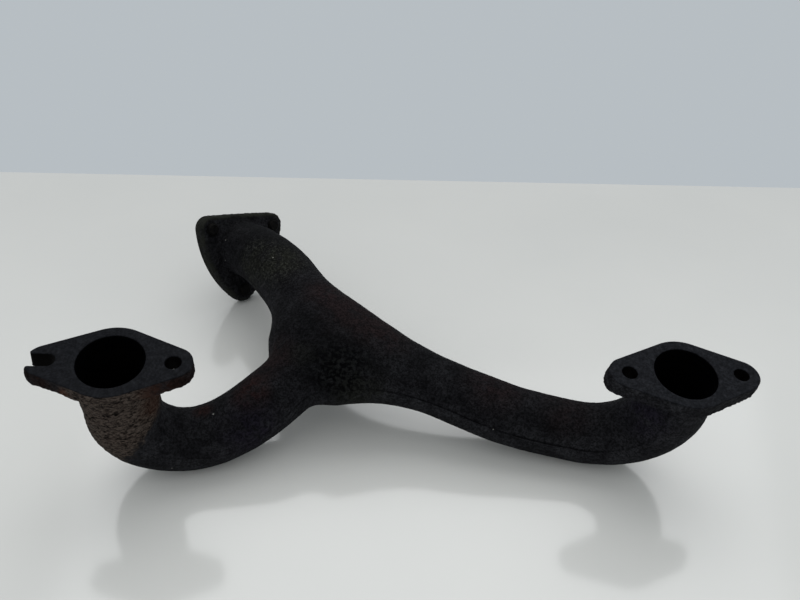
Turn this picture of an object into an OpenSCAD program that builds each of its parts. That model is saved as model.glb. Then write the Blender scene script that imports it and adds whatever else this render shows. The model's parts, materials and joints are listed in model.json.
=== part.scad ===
// Two-port cast-iron exhaust manifold: two port flanges, two runners that
// sweep into one Y-shaped body, and a studded triangular outlet flange.
// Z is the outward normal of the port faces, X runs from port to port,
// and the origin is the centre of port 1's face.

/* [Ports] */
// Distance between the centres of the two ports
port_pitch = 315; // [260:1:380]
// Bore of each port
port_d = 36; // [30:0.5:38]

/* [Port flanges] */
// Distance between the two stud centres of a port flange
port_stud_pitch = 65; // [58:0.5:80]
// Clearance hole of a port stud
port_hole_d = 9; // [6:0.5:11]
// Width of the open slot in port 1's outer lug
slot_w = 8.5; // [6:0.5:11]
// Thickness of a port flange
port_flange_t = 10; // [7:0.5:14]
// Radius of the round middle of a port flange
port_boss_r = 24; // [23:0.5:28]
// Radius of a port flange's lug around its stud hole
port_lug_r = 10.5; // [8:0.5:14]

/* [Runners] */
// Outer diameter of a runner at its port flange
root_d = 42; // [40:0.5:48]
// Outer diameter of a runner at its narrowest
runner_d = 38; // [32:0.5:40]
// Depth of runner 1's centreline below the port faces
depth_1 = 79; // [70:0.5:90]
// Depth of runner 2's centreline below the port faces
depth_2 = 71.5; // [65:0.5:85]
// Centreline radius of the elbow under port 1
elbow_r_1 = 35; // [30:1:48]
// Centreline radius of the elbow under port 2
elbow_r_2 = 45; // [30:1:54]
// Direction in which runner 1 leaves its elbow, turned back from the port line
run_turn_1 = 9; // [0:0.5:20]
// Direction in which runner 2 leaves its elbow, turned back from the port line
run_turn_2 = 12.5; // [0:0.5:20]
// Wall thickness of the casting
wall = 4.5; // [3:0.25:6]
// Height of the mould's parting-line ridge
seam_h = 0.7; // [0.3:0.1:1.5]

/* [Body] */
// Place of the middle of the Y, along the ports
body_x = 116.5; // [100:0.5:140]
// Place of the middle of the Y, across the ports
body_y = 64.5; // [45:0.5:75]
// Depth of the middle of the Y below the port faces
body_z = 57; // [50:0.5:75]
// Thickness of the Y at its middle
body_t = 48; // [40:0.5:58]

/* [Outlet] */
// Centre of the outlet face, along the ports
outlet_x = 40.5; // [30:0.5:55]
// Centre of the outlet face, across the ports
outlet_y = 192.5; // [170:0.5:205]
// Depth of the centre of the outlet face below the port faces
outlet_z = 92; // [80:0.5:105]
// Direction that the outlet faces in plan, from the port line
outlet_turn = 138.5; // [120:0.5:160]
// Angle by which the outlet faces down
outlet_dip = 26; // [15:0.5:45]
// Outer diameter of the outlet pipe
outlet_d = 41; // [36:0.5:46]
// Bore of the outlet flange
outlet_bore_d = 33; // [28:0.5:36]

/* [Outlet flange] */
// Diameter of the circle through the three stud centres
outlet_pcd = 65; // [60:0.5:72]
// Corner radius of the flange around each stud
outlet_corner_r = 9.5; // [9:0.5:14]
// Radius of the flange's two bowed sides, which meet at its first corner
outlet_bowed_r = 79; // [60:1:200]
// Radius of its third side, which is nearly straight
outlet_flat_r = 1300; // [200:100:3000]
// Thickness of the outlet flange
outlet_flange_t = 8.5; // [6:0.5:12]
// Direction of the flange's first corner about the outlet axis
outlet_roll = 24.5; // [0:0.5:119]

/* [Outlet studs] */
// Thread diameter of an outlet stud
stud_d = 10; // [6:1:10]
// How far a stud stands out of the outlet face
stud_out = 2; // [1:0.5:30]
// How far a stud stands out of the flange's inner side
stud_in = 2.5; // [1.5:0.5:5]
// How much a stud's inner end has worn down in radius at its tip
stud_wear = 1; // [0.5:0.1:1.5]
// Depth and width of the countersink of a tapped hole at the outlet face
countersink = 1; // [0.7:0.1:1.5]

/* [Hidden] */

HALF = 16;         // steps from the crown of a section to its bottom
SEAM_STEP = 4;     // degrees from the parting line to the ridge's foot
CORE_HALF = 9;     // the same for the hollow, which has no ridge
ELBOW_STEPS = 7;   // sections round an elbow
REACH_STEPS = 8;   // sections from an elbow to the body
OUTLET_STEPS = 10; // sections along the outlet pipe
BLEND_STEPS = 8;   // sections from a pipe's end to the middle of the Y
CROSS_GAIN = 1.6;  // how soon the skin turns across a rib, down from its crown
BORE_STEPS = 96;   // facets of a bore
HOLE_STEPS = 48;   // facets of a stud or its hole
LUG_STEPS = 12;    // facets of a port flange's lug
BOSS_STEPS = 8;    // facets of half of a port flange's middle
CORNER_STEPS = 10; // facets of a corner of the outlet flange
SIDE_STEPS = 8;    // facets of a side of the outlet flange
ROOT_FLARE = 2.5;  // how much wider a pipe's foot is at its flange
FLARE_DEPTH = 1;   // how far below its flange a foot keeps its full width
FLARE_END = 5;     // how far below its flange a foot has its pipe's width
FLARED = 2;        // sections of the outlet pipe that its foot's flare covers
THIRD = 360 / 3;   // from one corner of the outlet flange to the next
BORE_OVERRUN = 2;  // how far a machined bore runs on past its flange
CUT = 1;           // how far a cut runs out into the air
UP = [0, 0, 1];

port_centre = [[0, 0, 0], [port_pitch, 0, 0]];
outlet_centre = [outlet_x, outlet_y, -outlet_z];
outlet_dir = heading(outlet_turn, -outlet_dip);
body_centre = [body_x, body_y, -body_z];
// Diameter at which a stud and its tapped hole meet, half way down the thread
tap_d = stud_d - 1;

// The arms of the Y lead to port 1, port 2 and the outlet. Each leaves the
// body's middle in its own direction in plan and dips a little, and ends at
// its mouth, where its pipe takes over.
arm_turn = [226, -22.5, 116.5];
arm_dip = [10, 5, 6];
arm_length = [41, 80, 61];
mouth_d = [40, 38, 44];
// How far each pipe's curve is drawn on past its arm's mouth and, at its
// other end, past its elbow or the outlet flange
mouth_pull = [19.5, 32.5, 27.5];
end_pull = [19.5, 45, 24];
// The crotch between each arm and the next: how far it lies from the middle,
// how far it leans from half way between them, and the angle of the parting
// line there, from the crown
crotch_reach = [46.5, 35.5, 41];
crotch_lean = [-4, -1, 1.5];
crotch_seam = [72, 108, 90];

// ---- vectors and curves

function unit(v) = v / norm(v);
function heading(turn, rise = 0) =
    [cos(turn) * cos(rise), sin(turn) * cos(rise), sin(rise)];
function ease(t) = t * t * (3 - 2 * t);
function mix(a, b, t) = a + (b - a) * t;
function bezier(p, t) =
    pow(1 - t, 3) * p[0] + 3 * pow(1 - t, 2) * t * p[1]
    + 3 * (1 - t) * t * t * p[2] + t * t * t * p[3];
function bezier_dir(p, t) =
    unit(pow(1 - t, 2) * (p[1] - p[0]) + 2 * (1 - t) * t * (p[2] - p[1])
         + t * t * (p[3] - p[2]));

// ---- sections

// Angle of point j of a half section whose parting line is at angle seam
function half_angle(j, half, seam) =
    let (mid = half / 2)
    j < mid ? mix(0, seam - SEAM_STEP, j / (mid - 1))
    : j > mid ? mix(seam + SEAM_STEP, 180, (j - mid - 1) / (mid - 1))
    : seam;
// Half section of the hollow, evenly spaced
function core_angle(j, half) = 180 * j / half;

// A section is given by its centre, its direction, the direction of its crown,
// its radius and how much wider a flare makes it: [centre, dir, crown, r, flare]
function section_point(s, angle, r) =
    let (crown = unit(s[2] - s[1] * (s[2] * s[1])), side = cross(s[1], crown))
    s[0] + r * (cos(angle) * crown + sin(angle) * side);

// Points round a section. The plus side comes first, and seams holds the
// parting line's angle on the plus and on the minus side.
function skin_ring(s, seams) =
    [for (j = [0:2 * HALF - 1])
        let (plus = j <= HALF,
             k = plus ? j : 2 * HALF - j,
             angle = half_angle(k, HALF, seams[plus ? 0 : 1]),
             r = s[3] + s[4] + (k == HALF / 2 ? seam_h : 0))
        section_point(s, plus ? angle : -angle, r)];
function core_ring(s) =
    [for (j = [0:2 * CORE_HALF - 1])
        section_point(s, core_angle(j, CORE_HALF), s[3] - wall)];

// ---- centrelines

function arm_dir(arm) = heading(arm_turn[arm], -arm_dip[arm]);
function arm_mouth(arm) = body_centre + arm_dir(arm) * arm_length[arm];

// Runner from its port down through its elbow and across to its arm's mouth
function runner_sections(arm, depth, elbow_r, out_turn) =
    let (port = port_centre[arm],
         out = heading(out_turn),
         drop = depth - elbow_r,
         elbow_end = port + out * elbow_r - UP * depth,
         mouth = arm_mouth(arm),
         route = [elbow_end, elbow_end + out * end_pull[arm],
                  mouth + arm_dir(arm) * mouth_pull[arm], mouth])
    concat(
        [for (foot = [[port_flange_t / 2, ROOT_FLARE],
                      [port_flange_t + FLARE_DEPTH, ROOT_FLARE],
                      [port_flange_t + FLARE_END, 0]])
            [port - UP * foot[0], -UP, out, root_d / 2, foot[1]]],
        [for (k = [0:ELBOW_STEPS - 1])
            let (a = 90 * k / ELBOW_STEPS)
            [port - UP * (drop + elbow_r * sin(a)) + out * elbow_r * (1 - cos(a)),
             out * sin(a) - UP * cos(a), UP + out,
             mix(root_d, runner_d, ease(k / ELBOW_STEPS)) / 2, 0]],
        [for (k = [0:REACH_STEPS])
            let (t = k / REACH_STEPS)
            [bezier(route, t), bezier_dir(route, t), UP + out * (1 - ease(t)),
             mix(runner_d, mouth_d[arm], ease(t)) / 2, 0]]);

// Outlet pipe from the outlet flange back to its arm's mouth
function outlet_sections(arm) =
    let (start = outlet_centre - outlet_dir * outlet_flange_t / 2,
         mouth = arm_mouth(arm),
         route = [start, start - outlet_dir * end_pull[arm],
                  mouth + arm_dir(arm) * mouth_pull[arm], mouth],
         flat = heading(outlet_turn))
    [for (k = [0:OUTLET_STEPS])
        let (t = k / OUTLET_STEPS)
        [bezier(route, t), bezier_dir(route, t), UP + flat * (1 - ease(t)),
         mix(outlet_d, mouth_d[arm], ease(t)) / 2, k < FLARED ? ROOT_FLARE : 0]];

function arm_sections(arm) =
    arm == 0 ? runner_sections(arm, depth_1, elbow_r_1, run_turn_1)
    : arm == 1 ? runner_sections(arm, depth_2, elbow_r_2, 180 - run_turn_2)
    : outlet_sections(arm);

// ---- the middle of the Y

// Direction of the crotch between an arm and the next
function crotch_dir(crotch) =
    let (half_way = heading(arm_turn[crotch]) + heading(arm_turn[(crotch + 1) % 3]))
    heading(atan2(half_way.y, half_way.x) + crotch_lean[crotch]);
// Rib of the Y from its crown over a crotch to its bottom
function rib_point(crotch, angle, inset, ridge) =
    body_centre
    + crotch_dir(crotch) * (crotch_reach[crotch] - inset + ridge) * sin(angle)
    + UP * (body_t / 2 - inset) * cos(angle);
// Way in which the skin crosses a rib, from one arm towards the next
function rib_cross(arm, other, angle) =
    let (inward = -heading(arm_turn[arm]),
         over = unit(heading(arm_turn[other]) - heading(arm_turn[arm])))
    unit(mix(inward, over, ease(min(1, CROSS_GAIN * sin(angle)))));

// Last section of an arm, along its two ribs: [point, way across] for each
function rib_ring(arm, half, inset, core) =
    [for (j = [0:2 * half - 1])
        let (plus = j <= half,
             k = plus ? j : 2 * half - j,
             crotch = plus ? arm : (arm + 2) % 3,
             other = plus ? (arm + 1) % 3 : (arm + 2) % 3,
             angle = core ? core_angle(k, half)
                          : half_angle(k, half, crotch_seam[crotch]),
             ridge = !core && k == half / 2 ? seam_h : 0)
        [rib_point(crotch, angle, inset, ridge), rib_cross(arm, other, angle)]];

// Rings that carry an arm's last section over into its two ribs
function blend_rings(last, dir, ribs) =
    [for (i = [1:BLEND_STEPS])
        let (t = i / BLEND_STEPS,
             keep = 2 * t * t * t - 3 * t * t + 1,
             leave = t * t * t - 2 * t * t + t,
             arrive = t * t * t - t * t)
        [for (j = [0:len(last) - 1])
            let (reach = norm(last[j] - ribs[j][0]))
            i == BLEND_STEPS ? ribs[j][0]
            : keep * last[j] + (1 - keep) * ribs[j][0]
              + reach * (leave * dir + arrive * ribs[j][1])]];

// All rings of an arm, from its flange to the middle of the Y
function arm_rings(arm, core) =
    let (seams = [crotch_seam[arm], crotch_seam[(arm + 2) % 3]],
         rings = [for (s = arm_sections(arm)) core ? core_ring(s) : skin_ring(s, seams)],
         last = rings[len(rings) - 1],
         ribs = rib_ring(arm, core ? CORE_HALF : HALF, core ? wall : 0, core))
    concat(rings, blend_rings(last, -arm_dir(arm), ribs));

// ---- the Y as one closed surface

function ring_faces(first, rings, n) = [
    for (i = [0:rings - 2], j = [0:n - 1])
        let (a = first + i * n + j, b = first + i * n + (j + 1) % n)
        each [[a, b + n, b], [a, a + n, b + n]]];

module y_surface(core) {
    n = 2 * (core ? CORE_HALF : HALF);
    rings = [for (arm = [0:2]) arm_rings(arm, core)];
    first = [0, len(rings[0]) * n, (len(rings[0]) + len(rings[1])) * n];
    points = [for (arm = rings, ring = arm, p = ring) p];
    caps = [for (arm = [0:2]) [for (j = [0:n - 1]) first[arm] + j]];
    sides = [for (arm = [0:2]) each ring_faces(first[arm], len(rings[arm]), n)];
    polyhedron(points, concat(caps, sides));
}

// ---- flanges

function plan(a) = [cos(a), sin(a)];

// Diamond outline: a round middle and two lugs, joined by tangents
module port_outline() {
    reach = port_stud_pitch / 2;
    a = acos((port_boss_r - port_lug_r) / reach);
    right_lug = [for (k = [0:LUG_STEPS])
        [reach, 0] + port_lug_r * plan(mix(-a, a, k / LUG_STEPS))];
    top = [for (k = [0:BOSS_STEPS]) port_boss_r * plan(mix(a, 180 - a, k / BOSS_STEPS))];
    half = concat(right_lug, top);
    polygon(concat(half, -half));
}

module port_flange() {
    translate([0, 0, -port_flange_t]) linear_extrude(port_flange_t) port_outline();
}

// Three rounded corners joined by two bowed sides and one nearly straight one
module outlet_outline() {
    s = outlet_pcd / 2;
    mid = THIRD / 2;
    half_side = s * sin(mid);
    side_r = [outlet_bowed_r, outlet_flat_r, outlet_bowed_r];
    // half the angle of each side's arc, and how far beyond the middle of the
    // flange that arc has its centre
    bow = [for (r = side_r) asin(half_side / (r - outlet_corner_r))];
    back = [for (a = bow) half_side / tan(a) - s * cos(mid)];
    polygon([for (i = [0:2]) let (turn = THIRD * i, last_bow = bow[(i + 2) % 3]) each concat(
        [for (k = [0:CORNER_STEPS])
            s * plan(turn) + outlet_corner_r
                * plan(turn + mix(last_bow - mid, mid - bow[i], k / CORNER_STEPS))],
        [for (k = [0:SIDE_STEPS])
            side_r[i] * plan(turn + mid + mix(-bow[i], bow[i], k / SIDE_STEPS))
            - back[i] * plan(turn + mid)])]);
}

// Moves its children into the outlet's own frame: Z points out of the outlet,
// and the first corner of the flange is on X
module at_outlet() {
    translate(outlet_centre)
        rotate([0, 90 + outlet_dip, outlet_turn])
            rotate([0, 0, outlet_roll])
                children();
}
module at_outlet_studs() {
    at_outlet() for (turn = [0:THIRD:2 * THIRD]) rotate([0, 0, turn])
        translate([outlet_pcd / 2, 0, 0]) children();
}

module outlet_flange() {
    translate([0, 0, -outlet_flange_t]) linear_extrude(outlet_flange_t) outlet_outline();
}

// ---- cuts

module port_bore() {
    depth = port_flange_t + BORE_OVERRUN;
    translate([0, 0, -depth]) cylinder(h = depth + CUT, d = port_d, $fn = BORE_STEPS);
}

module port_hole() {
    translate([0, 0, -port_flange_t - CUT])
        cylinder(h = port_flange_t + 2 * CUT, d = port_hole_d, $fn = HOLE_STEPS);
}

// Open slot from a stud's place out through the end of the lug
module port_slot() {
    long = 2 * port_lug_r;
    translate([0, 0, -port_flange_t - CUT]) {
        cylinder(h = port_flange_t + 2 * CUT, d = slot_w, $fn = HOLE_STEPS);
        translate([-long, -slot_w / 2, 0])
            cube([long, slot_w, port_flange_t + 2 * CUT]);
    }
}

module outlet_bore() {
    depth = outlet_flange_t + BORE_OVERRUN;
    translate([0, 0, -depth])
        cylinder(h = depth + CUT, d = outlet_bore_d, $fn = BORE_STEPS);
}

module tapped_hole() {
    translate([0, 0, -outlet_flange_t - CUT])
        cylinder(h = outlet_flange_t + 2 * CUT, d = tap_d, $fn = HOLE_STEPS);
    translate([0, 0, -countersink])
        cylinder(h = countersink + CUT, r1 = tap_d / 2,
                 r2 = tap_d / 2 + countersink + CUT, $fn = HOLE_STEPS);
}

// ---- parts

module manifold_casting() {
    lug = [port_stud_pitch / 2, 0, 0];
    color("#2b2826") difference() {
        union() {
            y_surface(false);
            for (p = port_centre) translate(p) port_flange();
            at_outlet() outlet_flange();
        }
        y_surface(true);
        for (p = port_centre) translate(p) port_bore();
        for (p = [port_centre[0] + lug, port_centre[1] - lug, port_centre[1] + lug])
            translate(p) port_hole();
        translate(port_centre[0] - lug) port_slot();
        at_outlet() outlet_bore();
        at_outlet_studs() tapped_hole();
    }
}

// A stud meets its tapped hole at tap_d and has its full diameter outside it.
// Its outer end is sheared off close to the outlet face, and its inner end is
// worn to a blunt cone.
module outlet_stud(i) {
    r = stud_d / 2;
    low = -outlet_flange_t - stud_in;
    color("#4a4542") at_outlet() rotate([0, 0, THIRD * i])
        translate([outlet_pcd / 2, 0, 0])
            rotate_extrude($fn = HOLE_STEPS)
                polygon([[0, low], [r - stud_wear, low],
                         [r, -outlet_flange_t], [tap_d / 2, -outlet_flange_t],
                         [tap_d / 2, 0], [r, 0], [r, stud_out], [0, stud_out]]);
}

manifold_casting();
outlet_stud(0);  // outlet_stud_1
outlet_stud(1);  // outlet_stud_2
outlet_stud(2);  // outlet_stud_3
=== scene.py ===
import json
import math

import bmesh
import bpy
import numpy as np
from mathutils import Matrix, Vector


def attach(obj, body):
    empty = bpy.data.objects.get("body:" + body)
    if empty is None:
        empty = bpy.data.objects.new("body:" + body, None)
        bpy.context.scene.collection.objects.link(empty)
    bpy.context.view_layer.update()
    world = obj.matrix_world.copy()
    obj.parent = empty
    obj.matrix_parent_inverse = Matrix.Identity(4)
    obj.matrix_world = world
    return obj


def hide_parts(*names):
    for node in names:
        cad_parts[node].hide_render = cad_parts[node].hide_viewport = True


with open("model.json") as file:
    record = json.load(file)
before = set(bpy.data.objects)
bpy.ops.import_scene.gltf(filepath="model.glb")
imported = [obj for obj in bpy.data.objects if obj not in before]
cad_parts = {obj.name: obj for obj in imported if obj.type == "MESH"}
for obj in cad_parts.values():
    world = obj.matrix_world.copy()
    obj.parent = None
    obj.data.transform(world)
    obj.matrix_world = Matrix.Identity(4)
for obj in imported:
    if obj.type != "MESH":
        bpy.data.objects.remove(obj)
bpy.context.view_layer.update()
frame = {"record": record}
mounts = {mount["name"]: mount for mount in frame["record"]["mounts"]}

# ---------------------------------------------------------------------------
# The casting: two runners, the Y between them and the outlet pipe, in one
# piece of grey iron. It is poured in a two-part sand mould round a sand core,
# so its skin is grainy, a parting line runs round it, and it is hollow.

MM = 0.001               # lengths are in millimetres, and turns in degrees
UP = np.array([0.0, 0.0, 1.0])
PORT = [np.array(mounts[name]["pos_m"]) / MM for name in ("port_1_bore", "port_2_bore")]
OUTLET = np.array(mounts["outlet_bore"]["pos_m"]) / MM
OUTLET_OUT = np.array(mounts["outlet_bore"]["axis"])
PORT_BORE = mounts["port_1_bore"]["dims"]["r_mm"]
OUTLET_BORE = mounts["outlet_bore"]["dims"]["r_mm"]

FLANGE = 10.0            # thickness of a port flange
OUTLET_FLANGE = 8.5      # thickness of the outlet flange
BORE_PAST = 2.0          # how far below its flange a bore is still machined
ROOT = 21.0              # radius of a runner at its flange
NARROW = 19.0            # radius of a runner at its narrowest
PIPE = 20.5              # radius of the outlet pipe at its flange
WALL = 4.5               # from the skin to the hollow
DEPTH = [79.0, 71.5]     # how far each runner's centreline lies below its port
ELBOW = [35.0, 45.0]     # radius of each elbow's bend
LEAVES = [9.0, 167.5]    # heading in which each runner leaves its elbow
FILLET = 2.4             # how far the foot of a pipe spreads under its flange
FILLET_DEPTH = 4.5       # how deep that foot is
FAR_BELOW = 99.0         # any depth that is past the foot and the machined bore

SEAM = 0.8               # height of the parting line
SEAM_WIDTH = 0.55        # half of its width
SEAM_WORN = 0.4          # how much of it is left, except along runner 2
SEAM_PLAIN = [130.0, 295.0]   # it is plainer between these, along runner 2
SEAM_FADE = 40.0         # and gets so over this length at each end
SEAM_DENSITY = 1.35      # how much the mesh gathers towards the parting line

BODY = np.array([116.5, 64.5, -57.0])   # the middle of the Y
BODY_HALF = 24.0         # half of the Y's thickness there
# the Y's arms: runner 1, runner 2 and the outlet pipe
ARM_TURN = [226.0, -22.5, 116.5]   # heading in which each arm leaves the middle
ARM_DIP = [10.0, 5.0, 6.0]         # how steeply it falls there
ARM_LENGTH = [41.0, 80.0, 61.0]    # from the middle to its mouth, where it is round
MOUTH = [20.0, 19.0, 22.0]         # its radius at its mouth
MOUTH_PULL = [19.5, 32.5, 27.5]    # handle of its centreline's bezier at its mouth
END_PULL = [19.5, 45.0, 24.0]      # the same at its elbow or its flange
# the crotches: runner 1 to runner 2, runner 2 to the pipe, the pipe to runner 1
CROTCH_REACH = [46.5, 35.5, 41.0]  # from the middle to each crotch
CROTCH_LEAN = [-4.0, -1.0, 1.5]    # how far it is turned from midway between its arms
CROTCH_SEAM = [72.0, 108.0, 90.0]  # how far down from the crown its parting line runs
CROSS_GAIN = 1.6         # how soon down a rib the skin turns to cross it square
RIB_ROUNDS = 150         # rounds of easing where the arms meet
RIB_PULLS = [0.5, -0.41]   # each round pulls the skin flat, then swells it back
RIB_REACH = 22.0         # how far that easing reaches up each pipe

SKIN_HALF, SKIN_STEP = 64, 1.0   # faces in half a ring of the skin, and their length
CORE_HALF, CORE_STEP = 32, 3.0   # the same for the hollow
FINE = 400               # points that measure a curve's length


def unit(v):
    return v / np.linalg.norm(v)


def heading(turn, rise=0.0):
    """The way so many degrees round from x and up from level."""
    turn, rise = math.radians(turn), math.radians(rise)
    flat = math.cos(rise)
    return np.array([math.cos(turn) * flat, math.sin(turn) * flat, math.sin(rise)])


def ease(t):
    return t * t * (3 - 2 * t)


def mix(a, b, t):
    return a + (b - a) * t


def bezier(p, t):
    return ((1 - t) ** 3 * p[0] + 3 * (1 - t) ** 2 * t * p[1]
            + 3 * (1 - t) * t * t * p[2] + t ** 3 * p[3])


def bezier_way(p, t):
    return unit((1 - t) ** 2 * (p[1] - p[0]) + 2 * (1 - t) * t * (p[2] - p[1])
                + t * t * (p[3] - p[2]))


def even_steps(route, step):
    """Values of t that lie evenly along a bezier, about step apart."""
    ts = np.linspace(0, 1, FINE)
    points = np.array([bezier(route, t) for t in ts])
    run = np.concatenate([[0], np.cumsum(np.linalg.norm(np.diff(points, axis=0), axis=1))])
    count = max(2, int(round(run[-1] / step)))
    return np.interp(np.linspace(0, run[-1], count + 1), run, ts)


def foot_flare(below):
    """How much wider a pipe is this far below its flange."""
    u = np.clip(1 - below / FILLET_DEPTH, 0, 1)
    return FILLET * (1 - math.sqrt(1 - u * u))


def arm_way(arm):
    """The way in which an arm leaves the middle of the Y."""
    return heading(ARM_TURN[arm], -ARM_DIP[arm])


def arm_sections(arm, step):
    """Sections from a flange to its arm's mouth: centre, way, crown, radius, and how
    far each lies below its flange."""
    mouth = BODY + arm_way(arm) * ARM_LENGTH[arm]
    sections = []
    if arm < 2:
        port, out = PORT[arm], heading(LEAVES[arm])
        drop = DEPTH[arm] - ELBOW[arm]
        start = FLANGE / 2
        for depth in np.linspace(start, drop, int((drop - start) / step) + 1)[:-1]:
            sections.append((port - UP * depth, -UP, out, ROOT, depth - FLANGE))
        count = int(ELBOW[arm] * math.pi / 2 / step)
        for a in np.arange(count) / count:
            s, c = math.sin(a * math.pi / 2), math.cos(a * math.pi / 2)
            centre = port - UP * (drop + ELBOW[arm] * s) + out * ELBOW[arm] * (1 - c)
            sections.append((centre, out * s - UP * c, UP + out,
                             mix(ROOT, NARROW, ease(a)), FAR_BELOW))
        elbow_end = port + out * ELBOW[arm] - UP * DEPTH[arm]
        route = [elbow_end, elbow_end + out * END_PULL[arm],
                 mouth + arm_way(arm) * MOUTH_PULL[arm], mouth]
        lead, first = out, NARROW
    else:
        start = OUTLET - OUTLET_OUT * OUTLET_FLANGE / 2
        route = [start, start - OUTLET_OUT * END_PULL[arm],
                 mouth + arm_way(arm) * MOUTH_PULL[arm], mouth]
        lead, first = unit(OUTLET_OUT * [1, 1, 0]), PIPE
    for t in even_steps(route, step):
        centre = bezier(route, t)
        below = (OUTLET - centre) @ OUTLET_OUT - OUTLET_FLANGE if arm == 2 else FAR_BELOW
        sections.append((centre, bezier_way(route, t), UP + lead * (1 - ease(t)),
                         mix(first, MOUTH[arm], ease(t)), below))
    return sections


def ring_angles(half, seam):
    """Angles of half a ring from the crown to the bottom, closest at the seam."""
    u = np.linspace(-1, 1, half + 1)
    gathered = np.sign(u) * np.abs(u) ** SEAM_DENSITY
    return np.interp(gathered, [-1, 0, 1], [0, seam, 180])


def seam_nearness(angles, seam, radius):
    """One on the parting line, and falling off to both sides of it."""
    away = np.radians(angles - seam) * radius
    return np.exp(-(away / SEAM_WIDTH) ** 2)


def both_sides(plus, minus):
    """Joins the two halves of a ring: down the plus side and up the minus side."""
    return np.concatenate([plus, minus[-2:0:-1]])


def section_ring(section, half, seams, inset):
    """A ring of points round a section, and how near each is to the parting line."""
    centre, way, crown, radius, below = section
    crown = unit(crown - way * (crown @ way))
    side = np.cross(way, crown)
    plus, minus = (ring_angles(half, seam) for seam in seams)
    angles = np.radians(both_sides(plus, -minus))
    if inset:
        bore = PORT_BORE if radius == ROOT else OUTLET_BORE
        r = bore if below < BORE_PAST else radius - inset
    else:
        r = radius + foot_flare(below)
    seam = both_sides(seam_nearness(plus, seams[0], radius), seam_nearness(minus, seams[1], radius))
    return centre + r * (np.cos(angles)[:, None] * crown + np.sin(angles)[:, None] * side), seam


def crotch_way(crotch):
    """The level way from the middle of the Y to a crotch."""
    between = heading(ARM_TURN[crotch]) + heading(ARM_TURN[(crotch + 1) % 3])
    return heading(math.degrees(math.atan2(between[1], between[0])) + CROTCH_LEAN[crotch])


def rib(arm, side, half, inset):
    """Half of an arm's last ring, on the rib over one crotch: points, ways across
    and nearness to the parting line."""
    crotch = arm if side > 0 else (arm + 2) % 3
    other = (arm + side) % 3
    angles = ring_angles(half, CROTCH_SEAM[crotch])
    reach = CROTCH_REACH[crotch] - inset
    s, c = np.sin(np.radians(angles)), np.cos(np.radians(angles))
    points = (BODY + crotch_way(crotch) * (reach * s)[:, None]
              + UP * ((BODY_HALF - inset) * c)[:, None])
    inward = -heading(ARM_TURN[arm])
    over = unit(heading(ARM_TURN[other]) - heading(ARM_TURN[arm]))
    turn = ease(np.minimum(1, CROSS_GAIN * s))[:, None]
    ways = inward + (over - inward) * turn
    seam = seam_nearness(angles, CROTCH_SEAM[crotch], reach)
    return points, ways / np.linalg.norm(ways, axis=1)[:, None], seam


def arm_rings(arm, half, step, inset):
    """An arm's rings from its flange to the middle of the Y: points, nearness to the
    parting line and nearness to the ribs."""
    seams = [CROTCH_SEAM[arm], CROTCH_SEAM[(arm + 2) % 3]]
    rings = [(*section_ring(s, half, seams, inset), 0.0) for s in arm_sections(arm, step)]
    for k in range(1, int(RIB_REACH / step)):
        rings[-k] = (*rings[-k][:2], 1 - k * step / RIB_REACH)
    last, last_seam, _ = rings[-1]
    sides = zip(rib(arm, 1, half, inset), rib(arm, -1, half, inset))
    ribs, ways, rib_seam = (both_sides(plus, minus) for plus, minus in sides)
    reach = np.linalg.norm(last - ribs, axis=1)[:, None]
    count = int(reach.mean() / step)
    for t in np.arange(1, count + 1) / count:
        keep, leave, arrive = 2 * t ** 3 - 3 * t * t + 1, t ** 3 - 2 * t * t + t, t ** 3 - t * t
        points = (keep * last + (1 - keep) * ribs
                  + reach * (leave * -arm_way(arm) + arrive * ways))
        rings.append((points, mix(last_seam, rib_seam, t), 1.0))
    return rings


def tube_faces(first, rings, around):
    """Squares between rings of points, which are numbered from first on."""
    return [(first + i * around + j, first + i * around + (j + 1) % around,
             first + (i + 1) * around + (j + 1) % around, first + (i + 1) * around + j)
            for i in range(rings - 1) for j in range(around)]


def note(mesh, name, values):
    """Keeps a value at each of a mesh's points, for the relief and the finish."""
    kept = mesh.attributes.new(name, "FLOAT", "POINT")
    kept.data.foreach_set("value", np.asarray(values, "f"))


def points_of(mesh):
    co = np.empty(len(mesh.vertices) * 3, "f")
    mesh.vertices.foreach_get("co", co)
    return co.reshape(-1, 3).astype(float) / MM


def normals_of(mesh):
    way = np.empty(len(mesh.vertices) * 3, "f")
    mesh.vertices.foreach_get("normal", way)
    return way.reshape(-1, 3)


def set_points(mesh, points):
    mesh.vertices.foreach_set("co", (points * MM).astype("f").ravel())
    mesh.update()


def closed_mesh(name, points, faces, notes=None, merge=0.02):
    """A smooth closed mesh in metres, its doubles merged and its faces outwards."""
    mesh = bpy.data.meshes.new(name)
    mesh.from_pydata((np.asarray(points) * MM).tolist(), [], faces)
    for key, values in (notes or {}).items():
        note(mesh, key, values)
    work = bmesh.new()
    work.from_mesh(mesh)
    bmesh.ops.remove_doubles(work, verts=work.verts, dist=merge * MM)
    bmesh.ops.recalc_face_normals(work, faces=work.faces)
    if work.calc_volume(signed=True) < 0:
        bmesh.ops.reverse_faces(work, faces=work.faces)
    for face in work.faces:
        face.smooth = True
    work.to_mesh(mesh)
    work.free()
    return mesh


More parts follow.
